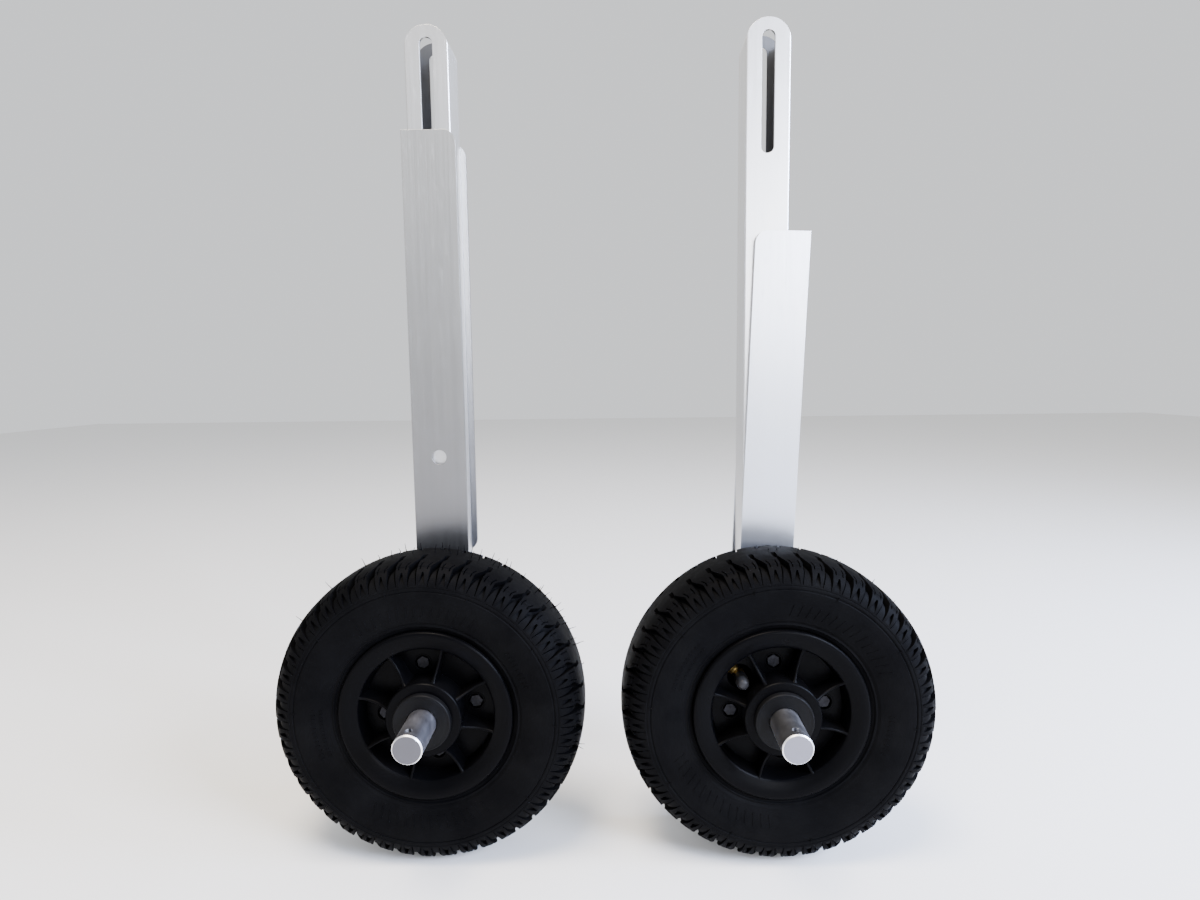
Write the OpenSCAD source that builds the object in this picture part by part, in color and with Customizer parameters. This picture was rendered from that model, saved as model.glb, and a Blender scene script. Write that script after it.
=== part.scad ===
// A pair of beach launching wheels: each side is a pneumatic wheel on a stub axle,
// a square tube leg and a loose channel bracket that slides over the leg.
// X runs across the pair, Y runs from the free axle ends to the backs of the legs,
// Z is up and z = 0 is the ground under the tyres.

/* [Leg] */
// Clear space between the two tyres, as the units stand side by side
unit_gap = 26; // [16:1:100]
// Height of the leg's rounded top above the ground
leg_top = 596; // [480:1:720]
// Outer width of the square tube
tube_w = 32; // [26:0.5:38]
// Wall of the square tube
tube_wall = 2.5; // [1.5:0.1:3.5]
// Radius on the tube's four long corners
tube_corner = 1.2; // [0.4:0.1:1.4]
// Length of tube below the axle centre
leg_tail = 35; // [20:1:60]
// Width of the bolt slot at the top of the leg
slot_w = 9.5; // [6:0.5:14]
// Length of the bolt slot, over its round ends
slot_len = 85; // [40:1:110]
// Metal left between the leg's top and the slot
slot_land = 8.5; // [5:0.5:14]

/* [Bracket] */
// Length of the channel bracket
channel_len = 320; // [260:1:360]
// Width of the flanges, from the web's outside to their free edge
channel_w = 40; // [38:0.5:48]
// Wall of the channel
channel_wall = 3; // [2:0.1:4]
// Gap between the left bracket's web and the leg
web_gap = 1; // [0.3:0.1:3]
// Radius on the two free corners of each flange
flange_r = 9.5; // [4:0.5:12]
// Pivot bolt hole through both flanges
pivot_d = 11; // [6:0.5:14]
// Pivot hole's distance from the channel's top end
pivot_drop = 239; // [200:1:250]
// How far the left bracket is held above its stop
left_lift = 75; // [0:1:120]
// Lean of the loose right bracket on its leg, in degrees
right_lean = 2.2; // [0:0.1:2.4]

/* [Axle] */
// Diameter of the stub axle
axle_d = 20; // [14:0.5:24]
// Length of axle standing out in front of the hub
axle_out = 34.7; // [20:0.1:50]
// Chamfer on the axle's free end
axle_chamfer = 0.8; // [0.3:0.1:1.5]
// Diameter of the cross hole for a retaining pin
pin_hole_d = 5; // [3:0.5:6]
// Cross hole's distance from the axle's free end
pin_hole_in = 6.5; // [5:0.5:12]
// Diameter of the stop collar between hub and leg
collar_d = 34; // [30:1:38]
// Thickness of the stop collar
collar_t = 4.8; // [4.2:0.1:8]
// Thread size of the bolt in the axle's rear end
rear_bolt_d = 10; // [6:1:12]
// Length of the rear bolt under its head
rear_bolt_len = 28; // [20:1:40]
// Diameter of the rear washer
washer_d = 28; // [22:1:30]
// Thickness of the rear washer
washer_t = 2.5; // [1:0.1:4]

/* [Tyre] */
// Outside diameter of the tyre
tyre_d = 220; // [200:1:250]
// Width of the tyre at its widest
tyre_w = 63.5; // [58:0.5:68]
// Rubber thickness under the tread
tread_t = 9; // [6:0.5:12]
// Rubber thickness of the sidewalls
side_t = 4; // [3:0.5:6]
// Wall of the inner tube
tube_skin = 1.6; // [1:0.1:3]

/* [Rim] */
// Diameter over the rim's lips
rim_d = 122; // [112:1:130]
// Radius of the curl along the lip
lip_curl = 2.3; // [1.5:0.1:3]
// Distance of the lip's front face from the wheel's middle
lip_out = 28.8; // [26:0.1:31]
// Diameter of the seat for the tyre's bead
bead_d = 100; // [94:1:104]
// Diameter inside the rim at its narrowest
well_d = 88; // [82:1:92]
// Thickness of the rim at its narrowest
well_wall = 3; // [2:0.1:4]
// Diameter of the hub's end
boss_d = 53; // [48:1:56]
// Half the distance between the hub's two end faces
hub_half = 33; // [30:0.5:36]
// Distance of the web's front face from the wheel's middle
web_out = 12; // [10:0.5:16]
// Thickness of the web between hub and barrel
web_t = 3.5; // [2.5:0.1:5]
// Number of ribs in each rim half
rib_count = 8; // [6:1:10]
// Thickness of a rib
rib_t = 2.8; // [2:0.1:4]
// How far the middle of a rib's edge dips
rib_dish = 4.1; // [0:0.1:8]
// Turn of the left wheel's ribs, in degrees clockwise from the top
left_turn = 15; // [0:0.5:45]
// Turn of the right wheel's ribs, in degrees clockwise from the top
right_turn = 17.5; // [0:0.5:45]

/* [Bushes and fasteners] */
// Diameter of the bush where it is pressed into the hub
bush_d = 28; // [25:0.5:32]
// Diameter of the bush's flange
bush_flange_d = 40; // [36:1:46]
// Thickness of the bush's flange
bush_flange_t = 4.5; // [3:0.1:6]
// Depth of the bush in the hub
bush_depth = 22; // [12:1:28]
// Diameter of the bolts that clamp the rim halves
rim_bolt_d = 5; // [4:0.5:6]
// Radius of the circle of rim bolts
rim_bolt_r = 33; // [32.5:0.5:36]
// Diameter of the window in the web around the valve
valve_window = 17; // [15:0.5:18]
// Diameter of the valve stem
valve_d = 8; // [6:0.5:9]
// Radius at which the valve turns towards the front
valve_r = 32; // [30:0.5:34]
// Diameter of the valve's threaded neck, under the cap
valve_neck_d = 5.6; // [4:0.1:5.9]
// Length of the valve cap
cap_len = 15; // [10:0.5:18]
// Diameter of the valve cap
cap_d = 9.6; // [8.5:0.1:11]

/* [Clearances] */
// Radial clearance of the bushes on the axle
running = 0.05; // [0.02:0.01:0.1]
// End float between the wheel and the stop collar
end_float = 0.2; // [0.1:0.05:0.5]
// Clearance between the leg and the channel's flanges
channel_fit = 0.5; // [0.3:0.1:1]
// Clearance left where a loose bracket comes to rest
rest_gap = 0.3; // [0.1:0.05:0.5]
// Clearance of the bolts in the rim's bolt holes
bolt_fit = 0.15; // [0.1:0.05:0.4]
// Clearance around the inner tube and the valve
tube_fit = 0.3; // [0.2:0.1:1]

/* [Hidden] */
$fn = 64;
STEPS = 14;                      // points along each quarter of a tyre outline
WHEEL_R = tyre_d / 2;            // also the axle's height above the ground
TRACK = tyre_d + unit_gap;       // from one wheel's centre to the other's
AXLE_R = axle_d / 2;
LEFT = -1;
RIGHT = 1;
OVER = 1;                        // how far a cutting shape runs past the surface

// Places along the axle, counted from the wheel's middle towards the leg
HUB_END = hub_half + bush_flange_t;
LEG_FRONT = HUB_END + end_float + collar_t;
LEG_BACK = LEG_FRONT + tube_w;
HEAD_RATIO = 0.64;               // height of a bolt head or nut for each mm of thread
HEX_RATIO = 0.92;                // corner radius of its hexagon for each mm of thread
HEAD_T = rear_bolt_d * HEAD_RATIO;
BACK_REACH = LEG_BACK + washer_t + HEAD_T;
FRONT_REACH = HUB_END + axle_out;
WHEEL_Y = (FRONT_REACH - BACK_REACH) / 2;   // keeps the footprint centred on y = 0

// Bracket
CHANNEL_IN = tube_w + 2 * channel_fit;      // inside, between the flanges
CHANNEL_OUT = CHANNEL_IN + 2 * channel_wall;
PIVOT_X = channel_wall + web_gap + tube_w / 2;  // web's outside to pivot hole, in line with the slot
CHANNEL_Y = WHEEL_Y + (LEG_FRONT + LEG_BACK) / 2;
STOP_Z = WHEEL_R + collar_d / 2 + rest_gap; // lower end of a bracket at its stop

// Tyre and rim
BEAD_R = bead_d / 2;
RIM_R = rim_d / 2;
FLANGE_IN = lip_out - 2 * lip_curl;         // the rim flange's face against the tyre
SIDE_R = (RIM_R + WHEEL_R) / 2 + 2;         // radius at which the tyre is widest
BEAD_W = 7;                                 // width of the tyre's bead
WELL_R = well_d / 2;
WELL_HALF = 11;                             // half the length of the rim's well
SEAT_START = WELL_HALF + 3.5;               // where the bead seat begins
SEAT_WALL = 3.5;                            // thickness of the rim under the bead
LIP_FALL = 1.6;                             // drop from the lip's crest to its inner edge
THROAT_R = BEAD_R - 2.5;                    // the rim's inside where it turns outwards to the lip
THROAT_Z = FLANGE_IN + 0.8;
BORE_R = bush_d / 2;
RIB_STEP = 360 / rib_count;
RIM_BOLTS = floor(rib_count / 2); // one in every other gap between ribs
VALVE_PLACE = 0.45;              // how far across its gap the valve stands
LEFT_VALVE_GAP = 4;              // gaps counted clockwise from the first rib: even ones hold no bolt
RIGHT_VALVE_GAP = 6;
BOSS_R = 6.5;                               // radius of a rim bolt's boss
RIM_HEAD_T = rim_bolt_d * HEAD_RATIO;
RIM_HEX_R = rim_bolt_d * HEX_RATIO;
HEAD_SINK = 0.3;                            // how far the bolt heads lie below the web's face
HEAD_SEAT = web_out - HEAD_SINK - RIM_HEAD_T;
WEB_MID = web_out - web_t / 2;
WEB_R = WELL_R + well_wall - 0.5;           // the web's outer edge, inside the barrel's wall
WEB_GRIP = 2.5;                             // how far the web reaches into the hub
POCKET_R = RIM_HEX_R + 0.8;                 // round pocket around a bolt head or nut
WINDOW_SHIFT = 2.5;                         // how far the window's centre lies outside the valve
CAP_START = 8;                              // where the valve cap begins, from the rim's middle
BUSH_R = AXLE_R + running;
NECK_LEN = cap_len * 0.6;                   // threaded neck inside the cap

// ---- placing ----

// A wheel frame: its z axis runs along the axle towards the free end, its y axis is up
module on_axle(side) {
    translate([side * TRACK / 2, WHEEL_Y, WHEEL_R]) rotate([90, 0, 0]) children();
}

// Turn of a wheel's ribs as an angle in the wheel frame, clockwise from the top
function turn(side) = side == LEFT ? left_turn : right_turn;
function clock(a) = 90 - a;

// The valve sits in the gap between two ribs, clear of the bolts
function valve_gap(side) = side == LEFT ? LEFT_VALVE_GAP : RIGHT_VALVE_GAP;
function valve_clock(side) = turn(side) + RIB_STEP * (valve_gap(side) + VALVE_PLACE);
function bolt_clock(side, i) = turn(side) + RIB_STEP * (2 * i + 1.5);

// ---- outlines ----

// A rectangle with its four corners rounded, centred on the origin
module round_rect(w, h, r) {
    square([w - 2 * r, h], center = true);
    square([w, h - 2 * r], center = true);
    for (x = [-1, 1], y = [-1, 1]) translate([x * (w / 2 - r), y * (h / 2 - r)]) circle(r, $fn = 32);
}

// A slot with round ends, its length along y
module slot(w, l) {
    square([w, l - w], center = true);
    for (y = [-1, 1]) translate([0, y * (l - w) / 2]) circle(d = w);
}

// Half of a tyre-like outline: a superellipse above the widest radius,
// and a parabola that pulls in by "pull" from there down to the radius "low"
function crown(half_w, top, n = 2.9) = [for (i = [0 : STEPS])
    let (t = 90 * i / STEPS)
    [SIDE_R + (top - SIDE_R) * pow(sin(t), 2 / n), half_w * pow(cos(t), 2 / n)]];
function wall(half_w, low, pull) = [for (i = [0 : STEPS / 2 - 1])
    let (u = 1 - 2 * i / STEPS)
    [SIDE_R - (SIDE_R - low) * u, half_w - pull * u * u]];
function mirrored(points) = [for (i = [len(points) - 1 : -1 : 0]) [points[i][0], -points[i][1]]];
module both_sides(points) { polygon(concat(points, mirrored(points))); }

// ---- leg and axle ----

module leg(side) {
    bottom = WHEEL_R - leg_tail;
    color([0.80, 0.80, 0.79])
    translate([side * TRACK / 2, WHEEL_Y + (LEG_FRONT + LEG_BACK) / 2, 0])
    difference() {
        intersection() {
            translate([0, 0, bottom]) linear_extrude(leg_top - bottom) difference() {
                round_rect(tube_w, tube_w, tube_corner);
                square(tube_w - 2 * tube_wall, center = true);
            }
            rotate([90, 0, 0]) linear_extrude(tube_w + 2 * OVER, center = true) leg_side(bottom);
        }
        rotate([90, 0, 0]) linear_extrude(tube_w + 2 * OVER, center = true)
            translate([0, leg_top - slot_land - slot_len / 2]) slot(slot_w, slot_len);
        translate([0, 0, WHEEL_R]) rotate([90, 0, 0])
            cylinder(r = AXLE_R, h = tube_w + 2 * OVER, center = true);
    }
}

// The leg's outline from the front: straight sides and a half-round top
module leg_side(bottom) {
    r = tube_w / 2;
    translate([-r, bottom]) square([tube_w, leg_top - r - bottom]);
    translate([0, leg_top - r]) circle(r, $fn = 96);
}

module axle(side) {
    color([0.62, 0.62, 0.65])
    on_axle(side) difference() {
        rotate_extrude() polygon([
            [0, -LEG_BACK], [AXLE_R, -LEG_BACK], [AXLE_R, FRONT_REACH - axle_chamfer],
            [AXLE_R - axle_chamfer, FRONT_REACH], [0, FRONT_REACH]]);
        translate([0, 0, -LEG_BACK - OVER]) cylinder(d = rear_bolt_d, h = rear_bolt_len + OVER);
        translate([0, 0, FRONT_REACH - pin_hole_in]) rotate([90, 0, 0])
            cylinder(d = pin_hole_d, h = axle_d + 2 * OVER, center = true);
    }
}

module ring(outer_r, inner_r, from, thick) {
    translate([0, 0, from]) rotate_extrude()
        translate([inner_r, 0]) square([outer_r - inner_r, thick]);
}

module stop_collar(side) {
    color([0.55, 0.56, 0.58]) on_axle(side) ring(collar_d / 2, AXLE_R, -LEG_FRONT, collar_t);
}

module rear_washer(side) {
    color([0.70, 0.70, 0.72])
    on_axle(side) ring(washer_d / 2, rear_bolt_d / 2, -LEG_BACK - washer_t, washer_t);
}

module rear_bolt(side) {
    in_axle = rear_bolt_len - washer_t - OVER;
    color([0.66, 0.66, 0.70])
    on_axle(side) {
        translate([0, 0, -BACK_REACH]) cylinder(r = rear_bolt_d * HEX_RATIO, h = HEAD_T, $fn = 6);
        translate([0, 0, -LEG_BACK - washer_t]) cylinder(d = rear_bolt_d, h = washer_t + in_axle);
    }
}

// ---- channel bracket ----

// One flange from the front: the web side is at x = 0, the free corners are round
module flange_side() {
    square([channel_w - flange_r, channel_len]);
    translate([0, flange_r]) square([channel_w, channel_len - 2 * flange_r]);
    for (y = [flange_r, channel_len - flange_r]) translate([channel_w - flange_r, y]) circle(flange_r);
}

// The bracket standing on z = 0 with its web's outside at x = 0 and its flanges along +x
module channel_body() {
    difference() {
        rotate([90, 0, 0]) linear_extrude(CHANNEL_OUT, center = true) flange_side();
        translate([channel_wall, -CHANNEL_IN / 2, -OVER])
            cube([channel_w, CHANNEL_IN, channel_len + 2 * OVER]);
        translate([PIVOT_X, 0, channel_len - pivot_drop]) rotate([90, 0, 0])
            cylinder(d = pivot_d, h = CHANNEL_OUT + 2 * OVER, center = true);
    }
}

// The left bracket stands square on its leg
module left_channel() {
    color([0.74, 0.74, 0.73])
    translate([-TRACK / 2 - PIVOT_X, CHANNEL_Y, STOP_Z + left_lift]) channel_body();
}

// The right bracket has slid down to the stop collar and leans outwards: the lower end of its web
// rests beside the tube, and the lower edge of its flange rests on the collar
module right_channel() {
    reach = channel_wall / cos(right_lean);     // the web, measured level
    side_x = TRACK / 2 + tube_w / 2 + rest_gap;
    foot = (collar_d / 2 + rest_gap) / cos(right_lean);
    drop = (side_x + reach - TRACK / 2) * tan(right_lean);
    color([0.84, 0.85, 0.88])
    translate([side_x + reach, CHANNEL_Y, WHEEL_R + foot - drop])
        rotate([0, right_lean, 0]) mirror([1, 0, 0]) channel_body();
}

// ---- rim ----

// Half of the rim's section, from the wheel's middle to the lip
module rim_section() {
    polygon([
        [WELL_R, 0], [WELL_R + well_wall, 0], [WELL_R + well_wall, WELL_HALF],
        [BEAD_R, SEAT_START], [BEAD_R, FLANGE_IN], [RIM_R - lip_curl, FLANGE_IN],
        [RIM_R - lip_curl, lip_out], [BEAD_R + 1, lip_out - LIP_FALL],
        [THROAT_R, THROAT_Z], [BEAD_R - SEAT_WALL, SEAT_START]]);
    translate([RIM_R - lip_curl, lip_out - lip_curl]) circle(lip_curl, $fn = 20);
}

// Half of the hub's section, with a rounded end
module hub_section() {
    boss_r = boss_d / 2;
    edge = 1.5;
    polygon([[BORE_R, 0], [boss_r - edge, 0], [boss_r, hub_half - edge], [boss_r - edge, hub_half],
        [BORE_R, hub_half]]);
}

// A rib's outline: radius along x, distance from the wheel's middle along y
function rib_edge(u, r0, r1, z0, z1) =
    [r0 + (r1 - r0) * u, z0 + (z1 - z0) * u - 4 * rib_dish * u * (1 - u)];
function rib_outline() =
    let (r0 = boss_d / 2 - 1, r1 = BEAD_R + 0.5, z0 = hub_half - 2, z1 = lip_out - LIP_FALL)
    concat([[r0, WEB_MID], [WEB_R, WEB_MID], [BEAD_R - SEAT_WALL / 2, SEAT_START]],
        [for (i = [STEPS : -1 : 0]) rib_edge(i / STEPS, r0, r1, z0, z1)]);

// Both halves are alike, but only the front one has a window for the valve
module rim_half(side, window) {
    difference() {
        union() {
            rotate_extrude($fn = 96) rim_section();
            rotate_extrude() hub_section();
            ring(WEB_R, boss_d / 2 - WEB_GRIP, web_out - web_t, web_t);
            for (i = [0 : rib_count - 1]) rotate([90, 0, clock(turn(side) + RIB_STEP * i)])
                linear_extrude(rib_t, center = true) polygon(rib_outline());
            for (i = [0 : RIM_BOLTS - 1]) rotate(clock(bolt_clock(side, i)))
                translate([rim_bolt_r, 0, 0]) cylinder(r = BOSS_R, h = web_out);
        }
        translate([0, 0, -OVER]) cylinder(r = BORE_R, h = hub_half + 2 * OVER);
        for (i = [0 : RIM_BOLTS - 1]) rotate(clock(bolt_clock(side, i)))
            translate([rim_bolt_r, 0, 0]) {
                translate([0, 0, -OVER]) cylinder(r = rim_bolt_d / 2 + bolt_fit, h = web_out + OVER);
                translate([0, 0, HEAD_SEAT]) cylinder(r = POCKET_R, h = web_out);
            }
        rotate(clock(valve_clock(side))) {
            translate([valve_r, 0, 0]) rotate([0, 90, 0])
                cylinder(r = valve_d / 2 + tube_fit, h = BEAD_R - valve_r);
            if (window) translate([valve_r + WINDOW_SHIFT, 0, web_out - web_t - OVER])
                cylinder(d = valve_window, h = web_t + 2 * OVER);
        }
    }
}

module rim_front(side) { color([0.10, 0.10, 0.10]) on_axle(side) rim_half(side, true); }

module rim_rear(side) {
    color([0.12, 0.12, 0.12]) on_axle(side) mirror([0, 0, 1]) rim_half(side, false);
}

module bush() {
    edge = 0.6;
    flange_r = bush_flange_d / 2;
    rotate_extrude() polygon([
        [BUSH_R, hub_half - bush_depth], [BORE_R, hub_half - bush_depth], [BORE_R, hub_half],
        [flange_r, hub_half], [flange_r, HUB_END - edge], [flange_r - edge, HUB_END],
        [BUSH_R, HUB_END]]);
}

module bush_front(side) { color([0.16, 0.16, 0.16]) on_axle(side) bush(); }

module bush_rear(side) { color([0.18, 0.18, 0.18]) on_axle(side) mirror([0, 0, 1]) bush(); }

module rim_bolts(side) {
    past_nut = 1.5;
    shank = 2 * HEAD_SEAT + RIM_HEAD_T + past_nut;
    color([0.16, 0.16, 0.17])
    on_axle(side) for (i = [0 : RIM_BOLTS - 1])
        rotate(clock(bolt_clock(side, i))) translate([rim_bolt_r, 0, 0]) {
            translate([0, 0, HEAD_SEAT]) cylinder(r = RIM_HEX_R, h = RIM_HEAD_T, $fn = 6);
            translate([0, 0, HEAD_SEAT - shank]) cylinder(d = rim_bolt_d, h = shank);
        }
}

module rim_nuts(side) {
    color([0.18, 0.18, 0.19])
    on_axle(side) for (i = [0 : RIM_BOLTS - 1])
        rotate(clock(bolt_clock(side, i))) translate([rim_bolt_r, 0, -HEAD_SEAT - RIM_HEAD_T])
            difference() {
                cylinder(r = RIM_HEX_R, h = RIM_HEAD_T, $fn = 6);
                translate([0, 0, -OVER]) cylinder(d = rim_bolt_d, h = RIM_HEAD_T + 2 * OVER);
            }
}

// ---- tyre, inner tube and valve ----

// The tyre's outside: straight against the rim's flange, then the sidewall and the crown
function tyre_outer() = concat([[BEAD_R, FLANGE_IN]],
    wall(tyre_w / 2, RIM_R, tyre_w / 2 - FLANGE_IN), crown(tyre_w / 2, WHEEL_R));
function tyre_inner() = concat([[BEAD_R, FLANGE_IN - BEAD_W]],
    wall(tyre_w / 2 - side_t, RIM_R, tyre_w / 2 - side_t - FLANGE_IN + BEAD_W - 1),
    crown(tyre_w / 2 - side_t, WHEEL_R - tread_t));

module tyre(side) {
    color([0.13, 0.13, 0.14])
    on_axle(side) rotate_extrude($fn = 160) difference() {
        both_sides(tyre_outer());
        both_sides(tyre_inner());
        translate([BEAD_R - OVER, -FLANGE_IN + BEAD_W]) square([2 * OVER, 2 * (FLANGE_IN - BEAD_W)]);
    }
}

// The inner tube follows the tyre's inside at a small clearance and bridges the rim's well
module tube_section(gap) {
    low = WELL_R + well_wall + gap;
    half = min(WELL_HALF, FLANGE_IN - BEAD_W) - gap;
    both_sides(concat([[low, half], [BEAD_R + 2 * gap, half]],
        wall(tyre_w / 2 - side_t - gap, RIM_R, tyre_w / 2 - side_t - FLANGE_IN + BEAD_W),
        crown(tyre_w / 2 - side_t - gap, WHEEL_R - tread_t - gap)));
}

module inner_tube(side) {
    color([0.20, 0.20, 0.20])
    on_axle(side) difference() {
        rotate_extrude($fn = 96) difference() {
            tube_section(tube_fit);
            tube_section(tube_fit + tube_skin);
        }
        rotate(clock(valve_clock(side))) translate([WELL_R, 0, 0]) rotate([0, 90, 0])
            cylinder(r = valve_d / 2, h = well_wall + 4 * tube_skin);
    }
}

// The brass stem comes out of the rim's well, turns towards the front and ends in the cap
module valve_stem(side) {
    foot = WELL_R + well_wall + tube_fit + tube_skin;
    color([0.72, 0.58, 0.30])
    on_axle(side) rotate(clock(valve_clock(side))) {
        translate([valve_r, 0, 0]) rotate([0, 90, 0]) cylinder(d = valve_d, h = foot - valve_r);
        translate([valve_r, 0, 0]) sphere(d = valve_d, $fn = 48);
        translate([valve_r, 0, 0]) cylinder(d = valve_d, h = CAP_START);
        translate([valve_r, 0, CAP_START]) cylinder(d = valve_neck_d, h = NECK_LEN);
    }
}

module valve_cap(side) {
    bore = valve_neck_d / 2;
    r = cap_d / 2;
    shoulder = cap_len * 0.7;
    dome = cap_len * 0.92;
    color([0.15, 0.15, 0.15])
    on_axle(side) rotate(clock(valve_clock(side))) translate([valve_r, 0, CAP_START])
        rotate_extrude() polygon([
            [bore, 0], [r, 0], [r, shoulder], [r * 0.8, dome], [r * 0.5, cap_len],
            [0, cap_len], [0, NECK_LEN], [bore, NECK_LEN]]);
}

leg(LEFT);  // left_leg
axle(LEFT);  // left_axle
stop_collar(LEFT);  // left_stop_collar
rear_washer(LEFT);  // left_rear_washer
rear_bolt(LEFT);  // left_rear_bolt
left_channel();
rim_front(LEFT);  // left_rim_front
rim_rear(LEFT);  // left_rim_rear
bush_front(LEFT);  // left_bush_front
bush_rear(LEFT);  // left_bush_rear
rim_bolts(LEFT);  // left_rim_bolts
rim_nuts(LEFT);  // left_rim_nuts
tyre(LEFT);  // left_tyre
inner_tube(LEFT);  // left_inner_tube
valve_stem(LEFT);  // left_valve_stem
valve_cap(LEFT);  // left_valve_cap
leg(RIGHT);  // right_leg
axle(RIGHT);  // right_axle
stop_collar(RIGHT);  // right_stop_collar
rear_washer(RIGHT);  // right_rear_washer
rear_bolt(RIGHT);  // right_rear_bolt
right_channel();
rim_front(RIGHT);  // right_rim_front
rim_rear(RIGHT);  // right_rim_rear
bush_front(RIGHT);  // right_bush_front
bush_rear(RIGHT);  // right_bush_rear
rim_bolts(RIGHT);  // right_rim_bolts
rim_nuts(RIGHT);  // right_rim_nuts
tyre(RIGHT);  // right_tyre
inner_tube(RIGHT);  // right_inner_tube
valve_stem(RIGHT);  // right_valve_stem
valve_cap(RIGHT);  // right_valve_cap
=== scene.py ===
# %% [markdown]
# # A pair of beach launching wheels
#
# The real thing is a kit of two units. Each has a small pneumatic wheel on a stub axle, a square
# aluminium leg with a slotted top, and a loose aluminium channel that slides on the leg. The CAD
# model gives every size and place, so this lesson only adds what a mould, a press and a tread
# pattern leave on the surface.

# %% Load the frame
import math

import bmesh
import bpy
import numpy as np
from mathutils import Matrix, Vector


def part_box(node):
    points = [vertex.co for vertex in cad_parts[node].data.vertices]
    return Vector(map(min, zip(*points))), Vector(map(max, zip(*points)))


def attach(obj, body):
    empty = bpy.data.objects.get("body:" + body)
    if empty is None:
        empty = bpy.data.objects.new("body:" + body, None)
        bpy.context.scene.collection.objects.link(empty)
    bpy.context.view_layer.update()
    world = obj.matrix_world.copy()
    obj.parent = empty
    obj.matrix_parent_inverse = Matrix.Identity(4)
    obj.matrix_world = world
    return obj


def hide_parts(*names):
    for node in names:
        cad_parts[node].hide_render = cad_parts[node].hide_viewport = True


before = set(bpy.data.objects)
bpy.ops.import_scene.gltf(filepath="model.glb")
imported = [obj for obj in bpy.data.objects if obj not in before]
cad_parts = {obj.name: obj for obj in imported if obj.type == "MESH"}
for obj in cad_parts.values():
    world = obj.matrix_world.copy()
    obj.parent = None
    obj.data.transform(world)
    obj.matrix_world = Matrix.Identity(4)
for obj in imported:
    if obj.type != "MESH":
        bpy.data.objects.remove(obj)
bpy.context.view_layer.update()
MM = 0.001
SIDES = ("left", "right")

# %% [markdown]
# Everything round is worked out in a wheel frame: x to the right, y up, and z along the axle
# towards its free end. Its origin is the middle of the tyre, which the CAD box of the tyre gives.
# Clock angles run clockwise from the top, as seen from the free end of the axle.

# %% Wheel frames
def middle(node):
    """The middle of a CAD node's box, in metres."""
    low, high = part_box(node)
    return (np.array(low) + np.array(high)) / 2


HUB = {side: middle(f"{side}_tyre") for side in SIDES}
TYRE_R = (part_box("left_tyre")[1].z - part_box("left_tyre")[0].z) / 2 / MM
RIB_TURN = {"left": 15.0, "right": 17.5}
RIBS = 8


def on_wheel(points, side, flip=1):
    """Wheel-frame points in mm, of any array shape ending in 3, as points in the row frame in metres.

    The wheel's x stays x, its y becomes height, and its z runs towards -Y; flip=-1 mirrors z."""
    out = np.empty_like(points)
    out[..., 0] = points[..., 0]
    out[..., 1] = -flip * points[..., 2]
    out[..., 2] = points[..., 1]
    return out * MM + HUB[side]


print("tyre radius", round(TYRE_R, 2), "mm; hubs at", {s: HUB[s].round(4).tolist() for s in SIDES})

# %% [markdown]
# Most new pieces are grids: rows and columns of points, joined into quads. One function makes the
# mesh from such an array, and a second joins several meshes into one piece. A grid can close on
# itself in either direction, as a revolved profile does.

# %% Grid meshes
def grid_faces(rows, cols, close_rows, close_cols):
    """Quads between neighbouring points of a rows x cols grid, as an array of point numbers."""
    i = np.arange(rows if close_rows else rows - 1)[:, None]
    j = np.arange(cols if close_cols else cols - 1)[None, :]
    i2, j2 = (i + 1) % rows, (j + 1) % cols
    corners = (i * cols + j, i2 * cols + j, i2 * cols + j2, i * cols + j2)
    return np.stack(np.broadcast_arrays(*corners), axis=-1).reshape(-1, 4)


def make_piece(name, shells, smooth_angle=35.0):
    """One object from a list of shells, each a (points, faces) pair with quads.

    An open end is filled with one flat face, and then the faces' directions are recalculated."""
    points, faces, start = [], [], 0
    for shell_points, shell_faces in shells:
        points.append(shell_points.reshape(-1, 3))
        faces.append(shell_faces + start)
        start += len(points[-1])
    points, faces = np.concatenate(points), np.concatenate(faces)
    mesh = bpy.data.meshes.new(name)
    mesh.vertices.add(len(points))
    mesh.vertices.foreach_set("co", points.astype(np.float32).ravel())
    mesh.loops.add(faces.size)
    mesh.loops.foreach_set("vertex_index", faces.astype(np.int32).ravel())
    mesh.polygons.add(len(faces))
    mesh.polygons.foreach_set("loop_start", np.arange(0, faces.size, 4, dtype=np.int32))
    mesh.update(calc_edges=True)
    solid = bmesh.new()
    solid.from_mesh(mesh)
    bmesh.ops.holes_fill(solid, edges=[edge for edge in solid.edges if edge.is_boundary], sides=0)
    bmesh.ops.recalc_face_normals(solid, faces=solid.faces)
    solid.to_mesh(mesh)
    solid.free()
    mesh.shade_smooth()
    mesh.set_sharp_from_angle(angle=math.radians(smooth_angle))
    piece = bpy.data.objects.new(name, mesh)
    bpy.context.scene.collection.objects.link(piece)
    return piece


def revolve(profile, side, flip=1, segments=192):
    """A closed profile of (radius, z) points turned about the axle, as a shell.

    Each point (r, z) becomes the circle (r sin a, r cos a, z) for a from 0 to 360 degrees."""
    profile = np.asarray(profile, float)
    a = np.linspace(0, 2 * np.pi, segments, endpoint=False)[:, None]
    r, z = profile[None, :, 0], profile[None, :, 1]
    points = np.stack(np.broadcast_arrays(r * np.sin(a), r * np.cos(a), z), axis=-1)
    return on_wheel(points, side, flip), grid_faces(segments, len(profile), True, True)


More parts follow.
